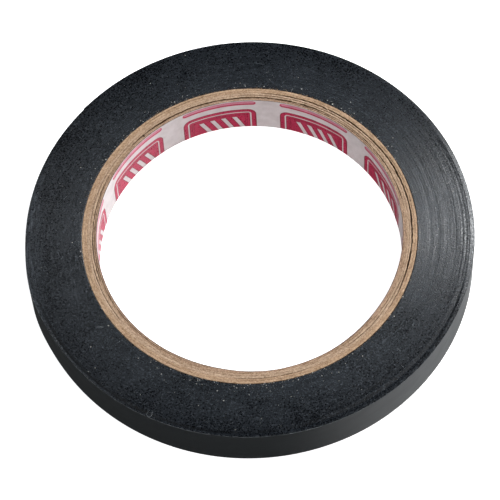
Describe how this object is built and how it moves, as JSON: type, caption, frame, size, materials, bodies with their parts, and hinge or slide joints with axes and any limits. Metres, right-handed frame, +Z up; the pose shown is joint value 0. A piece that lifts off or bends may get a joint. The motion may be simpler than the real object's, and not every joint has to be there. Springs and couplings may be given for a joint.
{
  "type": "electrical tape roll",
  "caption": "Roll of narrow black PVC electrical tape on a slit spiral-wound paperboard core with a printed paper liner; its free end peels away.",
  "frame": {"origin": "on the roll's axis at its lower side face, the roll lying flat", "axes": "+Z up along the roll's axis; +X and +Y in the plane of the side face; the tape is wound anticlockwise seen from +Z and its free end is at 136 degrees from +X"},
  "size_m": [0.1118, 0.1118, 0.0127],
  "materials": {
    "pvc_tape": "satin",
    "core_board": "matte, fibrous slit edges",
    "liner_paper": "smooth printed paper"
  },
  "bodies": {
    "roll": {"printed_liner": "liner_paper", "core_ply_1": "core_board", "core_ply_2": "core_board", "core_ply_3": "core_board", "core_ply_4": "core_board", "core_ply_5": "core_board", "core_ply_6": "core_board", "wound_tape": "pvc_tape", "outer_turn": "pvc_tape"},
    "tail_1": {"tail_length_1": "pvc_tape"},
    "tail_2": {"tail_length_2": "pvc_tape"},
    "tail_3": {"tail_length_3": "pvc_tape"},
    "tail_4": {"tail_length_4": "pvc_tape"},
    "tail_5": {"tail_length_5": "pvc_tape"}
  },
  "joints": [
    {"name": "tail_peel", "type": "hinge", "parent": "roll", "child": "tail_1", "pos_m": [-0.00615, 0.05564, 0.00635], "axis": [0, 0, -1], "range_deg": [0, 90]},
    {"name": "tail_straighten_1", "type": "hinge", "parent": "tail_1", "child": "tail_2", "pos_m": [-0.01383, 0.05424, 0.00635], "axis": [0, 0, -1], "range_deg": [0, 8]},
    {"name": "tail_straighten_2", "type": "hinge", "parent": "tail_2", "child": "tail_3", "pos_m": [-0.02125, 0.05179, 0.00635], "axis": [0, 0, -1], "range_deg": [0, 8]},
    {"name": "tail_straighten_3", "type": "hinge", "parent": "tail_3", "child": "tail_4", "pos_m": [-0.02825, 0.04833, 0.00635], "axis": [0, 0, -1], "range_deg": [0, 8]},
    {"name": "tail_straighten_4", "type": "hinge", "parent": "tail_4", "child": "tail_5", "pos_m": [-0.0347, 0.04393, 0.00635], "axis": [0, 0, -1], "range_deg": [0, 8]}
  ],
  "couplings": [
    {"joint": "tail_straighten_1", "follows": "tail_peel", "ratio": 0.0888},
    {"joint": "tail_straighten_2", "follows": "tail_peel", "ratio": 0.0888},
    {"joint": "tail_straighten_3", "follows": "tail_peel", "ratio": 0.0888},
    {"joint": "tail_straighten_4", "follows": "tail_peel", "ratio": 0.0888}
  ]
}
